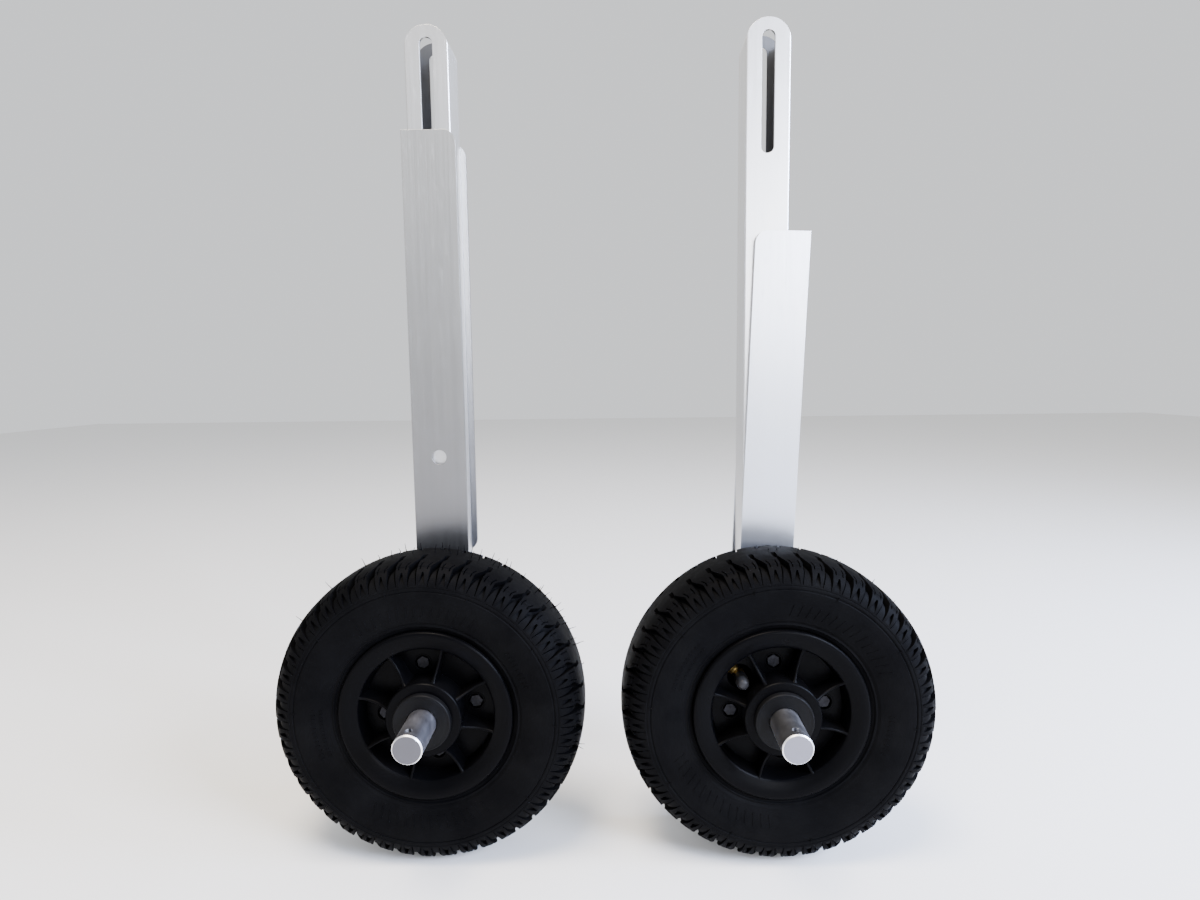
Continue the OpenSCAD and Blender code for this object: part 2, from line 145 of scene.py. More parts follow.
def soften(points, rounds=2, keep=0.25):
    """Rounds a profile's corners: each round replaces a corner by two points, a quarter of the way
    along its two edges, and keeps the ends."""
    points = np.asarray(points, float)
    for _ in range(rounds):
        near = points[:-1] * (1 - keep) + points[1:] * keep
        far = points[:-1] * keep + points[1:] * (1 - keep)
        inner = np.stack([near, far], axis=1).reshape(-1, 2)
        points = np.concatenate([points[:1], inner[1:-1], points[-1:]])
    return points


# %% [markdown]
# Each finish is a node tree on the Principled shader. Colours are written as the hex values that a
# designer would read off a swatch, so one function turns them to the linear values that Cycles
# needs. Another small function adds a node with its settings and links.

# %% Colour and node helpers
def linear(hex_colour, alpha=1.0):
    """An sRGB hex colour as linear RGBA: c / 12.92 below 0.04045, else ((c + 0.055) / 1.055) ** 2.4."""
    c = np.array([int(hex_colour[i:i + 2], 16) for i in (1, 3, 5)]) / 255
    rgb = np.where(c <= 0.04045, c / 12.92, ((c + 0.055) / 1.055) ** 2.4)
    return (*rgb.tolist(), alpha)


def add(material, kind, inputs=None, **settings):
    """Adds a node; inputs maps a socket's name or number to a value or to another node's output."""
    tree = material.node_tree
    made = tree.nodes.new(kind)
    for key, value in settings.items():
        setattr(made, key, value)
    for key, value in (inputs or {}).items():
        if isinstance(value, bpy.types.NodeSocket):
            tree.links.new(value, made.inputs[key])
        else:
            made.inputs[key].default_value = value
    return made


def new_material(name, **sockets):
    """A material with one Principled shader, and that shader's plain values set."""
    material = bpy.data.materials.new(name)
    material.use_nodes = True
    shader = material.node_tree.nodes["Principled BSDF"]
    for key, value in sockets.items():
        shader.inputs[key.replace("_", " ")].default_value = value
    return material, shader


def feed(material, output, shader, socket):
    """Links an output to one of the shader's sockets."""
    material.node_tree.links.new(output, shader.inputs[socket])


def noise(material, scale_per_mm, stretch=(1, 1, 1), detail=3.0, roughness=0.55, turn=0.0):
    """A noise pattern on Object coordinates, with cells about 1 / scale_per_mm millimetres across.

    stretch shrinks the cells along each axis; turn is a lean about Y in degrees."""
    coords = add(material, "ShaderNodeTexCoord")
    mapping = add(material, "ShaderNodeMapping", {
        "Vector": coords.outputs["Object"], "Rotation": (0, math.radians(-turn), 0),
        "Scale": tuple(s * scale_per_mm / MM for s in stretch)})
    return add(material, "ShaderNodeTexNoise", {
        "Vector": mapping.outputs[0], "Scale": 1.0, "Detail": detail, "Roughness": roughness})


def remap(material, value, low, high, to_low, to_high):
    """A clamped straight line from (low, to_low) to (high, to_high)."""
    return add(material, "ShaderNodeMapRange", {
        "Value": value, "From Min": low, "From Max": high,
        "To Min": to_low, "To Max": to_high}).outputs[0]


def blend(material, amount, first, second):
    """A mix of two colours by a 0 to 1 amount. Each is a hex value or another node's output."""
    first, second = (linear(c) if isinstance(c, str) else c for c in (first, second))
    return add(material, "ShaderNodeMix", {0: amount, 6: first, 7: second}, data_type="RGBA").outputs[2]


def combine(material, operation, first, second, **settings):
    """A sum, product or other join of two numbers or outputs."""
    return add(material, "ShaderNodeMath", {0: first, 1: second}, operation=operation, **settings).outputs[0]


def from_axle(material, side):
    """The distance from a wheel's axle line, in metres: the length of (x, 0, z) about the hub."""
    coords = add(material, "ShaderNodeTexCoord")
    centred = add(material, "ShaderNodeVectorMath", {
        0: coords.outputs["Object"], 1: tuple(HUB[side])}, operation="SUBTRACT")
    flat = add(material, "ShaderNodeVectorMath", {
        0: centred.outputs[0], 1: (1, 0, 1)}, operation="MULTIPLY")
    return add(material, "ShaderNodeVectorMath", {0: flat.outputs[0]}, operation="LENGTH").outputs["Value"]


def rings(material, side, pitch_mm):
    """A wave of the distance from the axle: sin(2 pi distance / pitch)."""
    phase = combine(material, "MULTIPLY", from_axle(material, side), 2 * math.pi / (pitch_mm * MM))
    return add(material, "ShaderNodeMath", {0: phase}, operation="SINE").outputs[0]


def bump(material, height, millimetres, below=None):
    """A bump of the given depth in millimetres, stacked on an earlier bump where one is given."""
    inputs = {"Height": height, "Strength": 1.0, "Distance": millimetres * MM}
    if below is not None:
        inputs["Normal"] = below
    return add(material, "ShaderNodeBump", inputs).outputs[0]


# %% [markdown]
# **Clear-anodised aluminium extrusion.** The die leaves fine lines along the bar, and the etch
# before anodising turns the metal satin, so it reflects as a soft smear that is wider across the
# lines than along them. Two noises stretched along Z draw the lines, a coarse one varies the
# tone, and handling marks are short streaks with a higher roughness. The plain studio light gives
# less shade than a room does, so the finish itself is toned darker towards the ground and inside
# the tube. That is shade painted as colour, not a film or a coating on the real bar.

# %% Anodised extrusion
SHADE_FROM, SHADE_TO = 0.16, 0.56     # metres above the ground: the darker tone fades out


def anodised(name, light, dark, low, lean=0.0, roughness=0.36):
    """Satin metal between two tones, fading to a low tone of painted shade near the ground; lean turns the
    lines.
    """
    material, shader = new_material(name, Metallic=1.0, Anisotropic=0.35)
    die_lines = noise(material, 1.6, (1, 1, 0.004), 2.0, turn=lean)      # lines about 0.6 mm apart
    broad_lines = noise(material, 0.22, (1, 1, 0.008), 2.0, turn=lean)   # bands of about 5 mm
    clouds = noise(material, 0.03, (1, 1, 0.6), 3.0)                     # tone drifts over 30 mm
    marks = noise(material, 0.35, (1, 1, 0.16), 5.0, 0.7, turn=lean)     # handling streaks
    drift = combine(material, "ADD", clouds.outputs[0], broad_lines.outputs[0])
    unshaded = blend(material, remap(material, drift, 0.7, 1.3, 0.0, 1.0), dark, light)
    height = add(material, "ShaderNodeSeparateXYZ", {
        0: add(material, "ShaderNodeTexCoord").outputs["Object"]}).outputs[2]
    # painted shade: below SHADE_TO the tone fades towards the low one, and is fully low below SHADE_FROM
    shade = remap(material, height, SHADE_FROM, SHADE_TO, 0.0, 1.0)
    feed(material, blend(material, shade, low, unshaded), shader, "Base Color")
    worn = remap(material, marks.outputs[0], 0.56, 0.72, 0.0, 0.07)
    lines = remap(material, die_lines.outputs[0], 0.3, 0.7, roughness - 0.03, roughness + 0.03)
    feed(material, combine(material, "ADD", lines, worn), shader, "Roughness")
    grooves = bump(material, die_lines.outputs[0], 0.004)
    feed(material, bump(material, broad_lines.outputs[0], 0.005, grooves), shader, "Normal")
    return material


LEG_FINISH = {side: anodised(f"anodised_leg_{side}", "#E8E7E6", "#DEDDDB", "#C6C7CA")
              for side in SIDES}
INNER_HALF = 13.7 * MM              # half the tube's inner width, and a little more


def darken_inside(material, node):
    """A darker tone, for shade, on the faces within INNER_HALF of the tube's line in x and in y."""
    shader = material.node_tree.nodes["Principled BSDF"]
    outside = shader.inputs["Base Color"].links[0].from_socket
    centred = add(material, "ShaderNodeVectorMath", {
        0: add(material, "ShaderNodeTexCoord").outputs["Object"],
        1: tuple(middle(node))}, operation="SUBTRACT")
    size = add(material, "ShaderNodeVectorMath", {0: centred.outputs[0]}, operation="ABSOLUTE")
    away = add(material, "ShaderNodeSeparateXYZ", {0: size.outputs[0]})
    furthest = combine(material, "MAXIMUM", away.outputs[0], away.outputs[1])
    inside = combine(material, "LESS_THAN", furthest, INNER_HALF)
    feed(material, blend(material, inside, outside, "#6E6F72"), shader, "Base Color")


for side in SIDES:
    darken_inside(LEG_FINISH[side], f"{side}_leg")
# The two brackets are one extrusion, toned as a lit copy on the right and a shaded copy on the left: painted
# light and shade, most of all in the left one's dark low tone.
BRACKET_FINISH = {
    "left": anodised("anodised_bracket_left", "#D2D1CE", "#C8C7C4", "#56575C"),
    "right": anodised("anodised_bracket_right", "#F0F1F4", "#E6E8EC", "#BFC4CE", lean=2.2)}
print("extrusion finishes:", [m.name for m in (*LEG_FINISH.values(), *BRACKET_FINISH.values())])

# %% [markdown]
# **Turned aluminium bar.** The axle is drawn bar with a faced end. Facing leaves rings about a
# quarter of a millimetre apart round the centre, so the pattern is a wave of the distance from
# the axle's line, and the drawn side has faint lines along its length.

# %% Turned bar
FACING_PITCH = 0.35                 # mm between facing rings, drawn a little coarser than real


def turned(name, side, light, dark, faced):
    """Drawn bar between two tones, with a painted highlight on the chamfer and painted shade on the faced
    end.
    """
    material, shader = new_material(name, Metallic=1.0)
    ring_wave = rings(material, side, FACING_PITCH)
    drawn = noise(material, 1.2, (1, 0.01, 1), 2.0)
    smudge = noise(material, 0.12, (1, 1, 1), 4.0, 0.6)
    tone = remap(material, smudge.outputs[0], 0.3, 0.7, 0.0, 1.0)
    coords = add(material, "ShaderNodeTexCoord")
    towards_end = add(material, "ShaderNodeSeparateXYZ", {0: coords.outputs["Normal"]}).outputs[1]
    # The chamfer, whose normal leans towards the front, is toned near white: a painted highlight.
    chamfer = remap(material, towards_end, -0.35, -0.5, 0.0, 1.0)
    # The faced end takes a darker tone: painted shade.
    end_face = remap(material, towards_end, -0.9, -0.97, 0.0, 1.0)
    edged = blend(material, chamfer, blend(material, tone, dark, light), "#F4F4F6")
    feed(material, blend(material, end_face, edged, faced), shader, "Base Color")
    feed(material, remap(material, smudge.outputs[0], 0.3, 0.75, 0.36, 0.46), shader, "Roughness")
    faced_bump = bump(material, ring_wave, 0.003)
    feed(material, bump(material, drawn.outputs[0], 0.006, faced_bump), shader, "Normal")
    return material


# Both axles are one bar, toned as lit and shaded copies: the left side is lighter and the left end darker
# than the right's, painted light and shade.
AXLE_FINISH = {
    "left": turned("turned_axle_left", "left", "#B4B4BC", "#A2A2AA", "#5E5E63"),
    "right": turned("turned_axle_right", "right", "#9C9CA0", "#88888C", "#7E7E87")}
print("axle finishes:", [m.name for m in AXLE_FINISH.values()])

# %% [markdown]
# ** Moulded nylon.** The rims and bushes come out of a lightly grained steel mould: nearly black,
# with a satin skin. A fine noise is the grain, a slow one is the flow of the plastic, faces that
# look up are toned a lighter grey in patches, and small grey flecks lie on every face.

# %% Moulded nylon
GRAIN_MM = 0.45                     # the mould's grain


def moulded(name, deep, upper_grey, roughness=0.32, upper_amount=0.3, level=0.14):
    """Grained black plastic, lighter grey on faces that look up and in flecks; level is the strength of its
    shine.
    """
    material, shader = new_material(name, Specular_IOR_Level=level, IOR=1.5)
    grain = noise(material, 1 / GRAIN_MM, (1, 1, 1), 2.0)
    flow = noise(material, 0.05, (1, 1, 1), 3.0)
    specks = noise(material, 0.8, (1, 1, 1), 4.0, 0.75)
    facing = add(material, "ShaderNodeTexCoord")
    up = add(material, "ShaderNodeSeparateXYZ", {0: facing.outputs["Normal"]}).outputs[2]
    # faces that look up are toned a lighter grey, in patches of the slow noise
    shelf = remap(material, up, 0.2, 1.0, 0.0, upper_amount)
    patches = remap(material, flow.outputs[0], 0.35, 0.65, 0.4, 1.0)
    fleck = remap(material, specks.outputs[0], 0.68, 0.78, 0.0, 0.25)
    grey_amount = combine(material, "ADD", combine(material, "MULTIPLY", shelf, patches), fleck, use_clamp=True)
    feed(material, blend(material, grey_amount, deep, upper_grey), shader, "Base Color")
    satin = remap(material, flow.outputs[0], 0.3, 0.7, roughness - 0.06, roughness + 0.08)
    feed(material, satin, shader, "Roughness")
    feed(material, bump(material, grain.outputs[0], 0.02), shader, "Normal")
    return material


RIM_FINISH = moulded("moulded_nylon_rim", "#030304", "#0E0E0F", level=0.032)
BUSH_FINISH = moulded("moulded_nylon_bush", "#09090A", "#1A1A1B", roughness=0.44, level=0.07)
CAP_FINISH = moulded("moulded_cap", "#262628", "#5A5A5C", roughness=0.34, upper_amount=0.2)
print("moulded finishes:", RIM_FINISH.name, BUSH_FINISH.name, CAP_FINISH.name)

# %% [markdown]
# **Tyre rubber.** A new tyre is nearly black with a dull skin, and wax blooms to the surface in
# slightly greyer patches. The mould's turning lines run round the sidewall. The colour is mixed by
# a slow noise, the lines are a wave of the distance from the axle, and the shine is kept weak.

# %% Tyre rubber
LINE_PITCH, LINE_DEPTH = 1.1, 0.018  # mm: the turning lines round the sidewall


def rubber(name, side):
    """Black rubber with greyer blooms, turning lines and a fine skin."""
    material, shader = new_material(name, IOR=1.5, Specular_IOR_Level=0.022)
    turned_lines = rings(material, side, LINE_PITCH)
    slow = noise(material, 0.035, (1, 1, 1), 4.0)
    skin = noise(material, 1.3, (1, 1, 1), 3.0)
    smears = noise(material, 0.18, (1, 1, 1), 5.0, 0.65)
    amount = combine(material, "ADD", remap(material, slow.outputs[0], 0.35, 0.7, 0.0, 0.7),
                     remap(material, smears.outputs[0], 0.5, 0.75, 0.0, 0.35), use_clamp=True)
    feed(material, blend(material, amount, "#040405", "#0A0A0B"), shader, "Base Color")
    feed(material, remap(material, smears.outputs[0], 0.3, 0.7, 0.5, 0.66), shader, "Roughness")
    round_lines = bump(material, turned_lines, LINE_DEPTH)
    feed(material, bump(material, skin.outputs[0], 0.05, round_lines), shader, "Normal")
    return material


RUBBER = {side: rubber(f"tyre_rubber_{side}", side) for side in SIDES}
TUBE_RUBBER = new_material("inner_tube_butyl", Base_Color=linear("#1B1B1C"), Roughness=0.7)[0]
print("rubber:", [m.name for m in RUBBER.values()])

# %% [markdown]
# **Small metal parts.** The rim bolts are black oxide steel, the rear bolt, washer and stop collar
# are bright zinc, and the valve is machined brass. Plating looks milky and uneven under a loupe,
# so each has a fine noise in its roughness and a slow one in its tone.

# %% Plated steel and brass
def plated(name, light, dark, roughness):
    """Metal with a milky, uneven skin; roughness is that of its smoothest spots."""
    material, shader = new_material(name, Metallic=1.0)
    milk = noise(material, 0.6, (1, 1, 1), 4.0, 0.7)
    tone = remap(material, milk.outputs[0], 0.35, 0.65, 0.0, 1.0)
    feed(material, blend(material, tone, dark, light), shader, "Base Color")
    uneven = remap(material, milk.outputs[0], 0.3, 0.7, roughness, roughness + 0.18)
    feed(material, uneven, shader, "Roughness")
    fine = noise(material, 4.0, (1, 1, 1), 2.0)
    feed(material, bump(material, fine.outputs[0], 0.008), shader, "Normal")
    return material


BLACK_OXIDE = plated("black_oxide_steel", "#2E2E31", "#1B1B1D", 0.4)
BRIGHT_ZINC = plated("bright_zinc", "#C8CACD", "#A9ACB0", 0.28)
BRASS = plated("machined_brass", "#A48C55", "#7C6A3F", 0.36)
print("plated finishes:", BLACK_OXIDE.name, BRIGHT_ZINC.name, BRASS.name)

# %% [markdown]
# **The tread.** Forty-four blocks stand round the tyre. A slot runs down from the crown beside each
# block, jogs sideways and opens at the shoulder into a gap. A low fin stands in the gap, with a wide
# cut on one side and a thin one on the other. Below its step, each block has two slits and a wedge
# pressed into its face. A displaced even grid would give saw-toothed walls, so the grid itself is
# bent: its columns follow the cuts, and every wall falls exactly on a grid line.

# %% Tyre profile
BLOCKS = 44
HALF_W, SIDE_R = 31.75, 87.5        # the widest part: half the width, and its radius
FLANGE_R, FLANGE_Z = 61.0, 24.2     # where the sidewall meets the rim's lip
SHOULDER_R = 93.6                   # where the tread ends


def crown_profile():
    """(z, radius) from the crown's middle to the widest part, with its length and outward normals.

    A superellipse: z = half width * cos(t) ** (2/2.9), r = side + (top - side) * sin(t) ** (2/2.9)."""
    t = np.linspace(np.pi / 2, 0, 2000)
    z = HALF_W * np.cos(t) ** (2 / 2.9)
    r = SIDE_R + (TYRE_R - SIDE_R) * np.sin(t) ** (2 / 2.9)
    z[0] = 0.0
    s = np.concatenate([[0], np.cumsum(np.hypot(np.diff(z), np.diff(r)))])
    dz, dr = np.gradient(z, s), np.gradient(r, s)
    size = np.hypot(dz, dr)
    return s, z, r, -dr / size, dz / size


PROFILE = crown_profile()
TREAD_END = float(np.interp(-SHOULDER_R, -PROFILE[2], PROFILE[0]))
print("the tread reaches", round(TREAD_END, 1), "mm from the middle of the crown")

# %% [markdown]
# Each row of the grid lies at one distance s from the middle of the crown. The widths and depths
# of the cuts change with s, so they are straight lines through a few places. Rows stand close
# together where a wall or a step needs a crisp edge.

# %% Tread grid
ROWS = np.concatenate([[0, 3, 6, 6.8], np.linspace(7.2, 10.5, 7), np.linspace(11.5, 19, 9),
                       np.linspace(20, 23.7, 5), [23.8, 24.4], np.linspace(25.0, 29.0, 6),
                       np.linspace(29.3, 38.4, 13), [38.9, 39.5]])


UNDERSIDE = np.array([(92.4, 27.5), (97.0, 20.0), (101.5, 0.0)])    # (radius, z), below every cut
WEDGE_SPAN, WEDGE_DEPTH = (29.2, 38.6), 3.2
SLIT_SPAN, SLIT_DEPTH = (20.5, 26.0), 1.7
CUT_AT = [20, 24, 28, 32, 36, 40]                                    # s of the values in cuts


def cuts(s, gap_left, gap_right):
    """Offsets in mm of the gap's 13 columns, and how each is sunk: block edge, floor or fin."""
    free = gap_right - gap_left - 0.75
    wide = np.minimum(np.interp(s, CUT_AT, [3.2, 3.3, 2.0, 1.0, 0.35, 0.12]), 0.62 * free)
    thin = np.minimum(np.interp(s, CUT_AT, [1.2, 1.2, 0.9, 0.6, 0.3, 0.12]), 0.26 * free)
    fin_left, fin_right = gap_left + thin + 0.4, gap_right - wide - 0.35
    fin = fin_left[:, None] + (fin_right - fin_left)[:, None] * np.array([0.0, 0.2, 0.5, 0.8, 1.0])
    columns = [gap_left, gap_left + 0.14, gap_left + 0.14 + thin, *fin.T,
               gap_right - wide - 0.12, gap_right - wide * 0.6, gap_right - wide * 0.3 - 0.05,
               gap_right - 0.12, gap_right]
    sunk = ["edge"] + ["floor"] * 2 + ["fin"] * 5 + ["floor"] * 4 + ["edge"]
    return np.stack(columns, axis=1), sunk


def tread_half(side, flip, phase, handed, rng):
    """One half of the tread, from the middle of the crown to below the shoulder, as a shell.

    A point of the profile is moved inwards along the normal by the local depth, then turned about
    the axle by offset / radius; handed mirrors the pattern round the tyre."""
    s = np.minimum(ROWS, TREAD_END)
    z, r, nz, nr = (np.interp(s, PROFILE[0], values) for values in PROFILE[1:])
    pitch = 2 * np.pi * r / BLOCKS
    gap_left = np.interp(s, [7, 14.5, 18, 24, 30, 40], [-6.9, -6.2, -4.1, -3.3, -3.1, -3.2])
    gap_right = np.interp(s, [7, 9, 14.5, 18, 24, 30, 40], [-3.9, -3.3, -3.2, -1.5, 2.8, 2.9, 3.1])
    gap, sunk = cuts(s, gap_left, gap_right)
    # the block's columns: a wedge in the middle, a slit on each side of it
    half = (pitch - (gap_right - gap_left)) / 2
    wedge = np.interp(s, WEDGE_SPAN, [0.45, 2.1])
    rim = wedge + 0.16
    spread = np.array([0.2, 0.38, 0.41, 0.56, 0.59, 0.8, 0.96])
    outer = rim[:, None] + (half - rim)[:, None] * spread
    inner = np.stack([0 * s, wedge / 2, wedge, rim], axis=1)
    side_columns = np.concatenate([inner[:, 1:], outer], axis=1)
    centre = (gap_right + half)[:, None]
    block = np.concatenate([centre - side_columns[:, ::-1], centre, centre + side_columns], axis=1)
    offset = np.concatenate([gap, block], axis=1)
    # depths
    face = np.interp(s, [23.8, 24.4, 35, 39], [0.0, 0.5, 0.1, 0.0])
    floor = np.interp(s, [6.8, 7.6, 12, 20, 24, 29, 34, 38, 39.4],
                      [0.0, 3.2, 4.2, 4.8, 5.4, 4.4, 2.6, 0.9, 0.0])
    fin = np.interp(s, [20, 24, 28, 33, 38, 39.4], [4.8, 3.3, 2.1, 1.1, 0.25, 0.0])
    level = {"edge": face, "floor": np.maximum(floor, face),
             "fin": np.minimum(np.maximum(fin, face), floor)}
    depth = np.stack([level[kind] for kind in sunk] + [face] * block.shape[1], axis=1)
    first = gap.shape[1]
    middle_column = first + side_columns.shape[1]
    top, tip = WEDGE_SPAN
    ramp = WEDGE_DEPTH * (1 - np.clip((s - top) / 9.4, 0, 1)) ** 1.15 * ((s > top) & (s < tip))
    depth[:, middle_column - 2:middle_column + 3] += ramp[:, None]
    slit = SLIT_DEPTH * ((s > SLIT_SPAN[0]) & (s < SLIT_SPAN[1]))
    for k in (5, 6):
        depth[:, [middle_column - 1 - k, middle_column + 1 + k]] += slit[:, None]
    # blocks leave the mould a little uneven, but the ends of the rows stay in place
    fade = np.clip(s / 6, 0, 1) * np.clip((39 - s) / 3, 0, 1)
    lift = rng.uniform(0.0, 0.12, BLOCKS)[:, None, None] * fade[None, :, None]
    block_turn = (np.arange(BLOCKS)[:, None, None] + phase) * 2 * np.pi / BLOCKS
    angle = block_turn + (offset / r[:, None])[None]
    low = depth[None] + lift
    radius = r[None, :, None] - nr[None, :, None] * low
    height = z[None, :, None] - nz[None, :, None] * low
    points = np.stack([handed * radius * np.sin(angle), radius * np.cos(angle), height], axis=-1)
    # the underside closes the ring: three rows run back to the middle of the crown
    turn, (under_r, under_z) = angle[:, [-1, -1, 0]], UNDERSIDE.T[:, :, None]
    under = np.stack([
        handed * under_r * np.sin(turn), under_r * np.cos(turn), under_z + 0 * turn], axis=-1)
    points = np.concatenate([points, under], axis=1)
    columns, rows = offset.shape[1], points.shape[1]
    points = points.transpose(0, 2, 1, 3).reshape(BLOCKS * columns, rows, 3)
    return on_wheel(points, side, flip), grid_faces(BLOCKS * columns, rows, True, True)


# %% [markdown]
# **The sidewall.** Below the shoulder the tyre is a plain turned shape with fine mould lines: a
# small step under the blocks, a scribed line above the marking band, and a raised cord line by
# the rim. A real tyre has writing in that band. Here it carries plain raised bars in groups
# instead, which say nothing.

# %% Sidewall, bars and ticks
def side_profile(radius):
    """z of the bare sidewall: the crown's superellipse above the widest part, a parabola below it."""
    u = np.clip((SIDE_R - radius) / (SIDE_R - FLANGE_R), 0, None)
    below = HALF_W - (HALF_W - FLANGE_Z) * u ** 2
    above = np.interp(-radius, -PROFILE[2], PROFILE[1])
    return np.where(radius >= SIDE_R, above, below)


def sidewall_profile():
    """The sidewall's (radius, z) points with its mould lines cut in or raised.

    Each line is a bell of height h and width w: h * exp(-((r - r0) / w) ** 2), added along z. The
    bead and the wall's inside close the profile."""
    r = np.concatenate([
        np.linspace(94.2, 88, 22), np.linspace(87.7, 69, 34), np.linspace(68.6, 61.3, 26)])
    z = side_profile(r)
    for where, width, height in ((92.9, 0.35, -0.3), (90.3, 0.4, -0.6), (64.4, 0.5, 0.7),
                                 (66.0, 0.5, -0.3), (84.6, 0.3, 0.12), (67.8, 0.35, 0.14)):
        z = z + height * np.exp(-((r - where) / width) ** 2)
    z[0] -= 0.5
    profile = np.stack([r, z], axis=1)
    bead = [(61.2, 23.4), (60.6, 22.6), (50.3, 22.6)]
    inside = [(50.3, 19.6), (60.0, 20.0), (75.0, 26.3), (87.5, 28.2), (93.2, 27.6)]
    return np.concatenate([profile, bead, inside])


BAR_LIFT = np.array([-0.5, 0.42, 0.42, -0.5])    # mm above the skin: a bar's feet and its top edges


def raised_bars(side, flip, spec):
    """Small raised bars on the sidewall, as one shell.

    spec holds (clock angle, inner radius, outer radius, width, skew) in degrees and mm. Each bar
    is a 4 x 4 grid, with its feet sunk below the skin and its top edges proud of it."""
    spec = np.asarray(spec, float)
    a, r0, r1, width, skew = (spec[:, i][:, None, None] for i in range(5))
    u = np.array([0.0, 0.08, 0.92, 1.0])[None, :, None]
    v = np.array([-0.5, -0.3, 0.3, 0.5])[None, None, :]
    lift = np.minimum(BAR_LIFT[None, :, None], BAR_LIFT[None, None, :])
    radius = r0 + (r1 - r0) * u + 0 * v
    angle = np.radians(a) + (v * width + skew * (u - 0.5)) / radius
    height = side_profile(radius) + lift
    points = np.stack([radius * np.sin(angle), radius * np.cos(angle), height], axis=-1)
    one = grid_faces(4, 4, False, False)
    faces = (one[None] + 16 * np.arange(len(spec))[:, None, None]).reshape(-1, 4)
    return on_wheel(points, side, flip), faces


def marking_bars(turn):
    """Where the bars stand: groups of long bars, rows of short dashes, and single ticks."""
    bars = []
    for start, count, step, low, high, skew in (
            (-34, 15, 4.4, 71.0, 80.5, 2.2), (148, 15, 4.4, 71.0, 80.5, -2.2),
            (52, 9, 2.6, 72.0, 76.0, 0.0), (-112, 12, 2.4, 75.5, 78.5, 0.0),
            (-112, 14, 2.0, 71.0, 73.2, 0.0)):
        bars += [(turn + start + step * i, low, high, 1.2, skew) for i in range(count)]
    bars += [(turn + 21 + 36 * i, 88.4, 92.2, 0.8, 0.6) for i in range(10)]
    return bars


PHASE = {"left": 0.35, "right": 0.1}             # where the first block stands, in blocks
HANDED = {"left": -1, "right": 1}                # the two tyres mirror each other
MARKING_TURN = {"left": 0, "right": 38}          # degrees


def make_tyre(side):
    """Each half of the tread as a piece, and the two sidewalls with their bars as a third."""
    rng = np.random.default_rng(11 if side == "left" else 12)
    front_ring = tread_half(side, 1, PHASE[side], HANDED[side], rng)
    front = make_piece(f"{side}_tyre_tread_front", [front_ring], 30)
    rear_ring = tread_half(side, -1, PHASE[side] + 0.5, HANDED[side], rng)
    rear = make_piece(f"{side}_tyre_tread_rear", [rear_ring], 30)
    walls = []
    for flip in (1, -1):
        walls.append(revolve(sidewall_profile(), side, flip, 352))
        walls.append(raised_bars(side, flip, marking_bars(MARKING_TURN[side])))
    return [front, rear, make_piece(f"{side}_tyre_sidewalls", walls, 40)]


TYRES = {side: make_tyre(side) for side in SIDES}
for side in SIDES:
    print(side, {p.name: len(p.data.polygons) * 2 for p in TYRES[side]}, "triangles")

# %% [markdown]
# **Vent hairs.** Air leaves a tyre mould through pin holes, and rubber follows it, so a new tyre
# is covered in short hairs. They stand in pairs on each block, a little crooked. Each one is a
# thin four-sided tube that bends as it rises, and all of a tyre's hairs are one piece. They are
# drawn thicker than real, because a true hair is too fine to show.

# %% Vent hairs
HAIR_R = 0.36                       # mm, at the root
HAIR_RINGS, HAIR_SIDES = 6, 4
GRIP_LINE = -104                    # mm: hairs that reach below this height are worn off


def hairs(side, roots, directions, lengths, bends):
    """Tapered tubes from wheel-frame roots, as a shell.

    The centre line is root + t * length * direction + bend * t ** 2, and the radius falls to a
    third at the tip."""
    t = np.linspace(0, 1, HAIR_RINGS)
    line = roots[:, None] + directions[:, None] * (lengths[:, None] * t)[..., None] \
        + bends[:, None] * (t ** 2)[None, :, None]
    helper = np.where(np.abs(directions[:, 2:3]) > 0.9, [[1.0, 0, 0]], [[0.0, 0, 1]])
    first = np.cross(directions, helper)
    first /= np.linalg.norm(first, axis=1, keepdims=True)
    second = np.cross(directions, first)
    around = np.array([[1, 0], [0, 1], [-1, 0], [0, -1]], float)
    ring = around[None, :, :1] * first[:, None] + around[None, :, 1:] * second[:, None]
    size = HAIR_R * (1 - 0.66 * t)
    points = line[:, :, None] + ring[:, None] * size[None, :, None, None]
    one = grid_faces(HAIR_RINGS, HAIR_SIDES, False, True)
    starts = HAIR_RINGS * HAIR_SIDES * np.arange(len(roots))
    faces = (one[None] + starts[:, None, None]).reshape(-1, 4)
    return on_wheel(points, side), faces


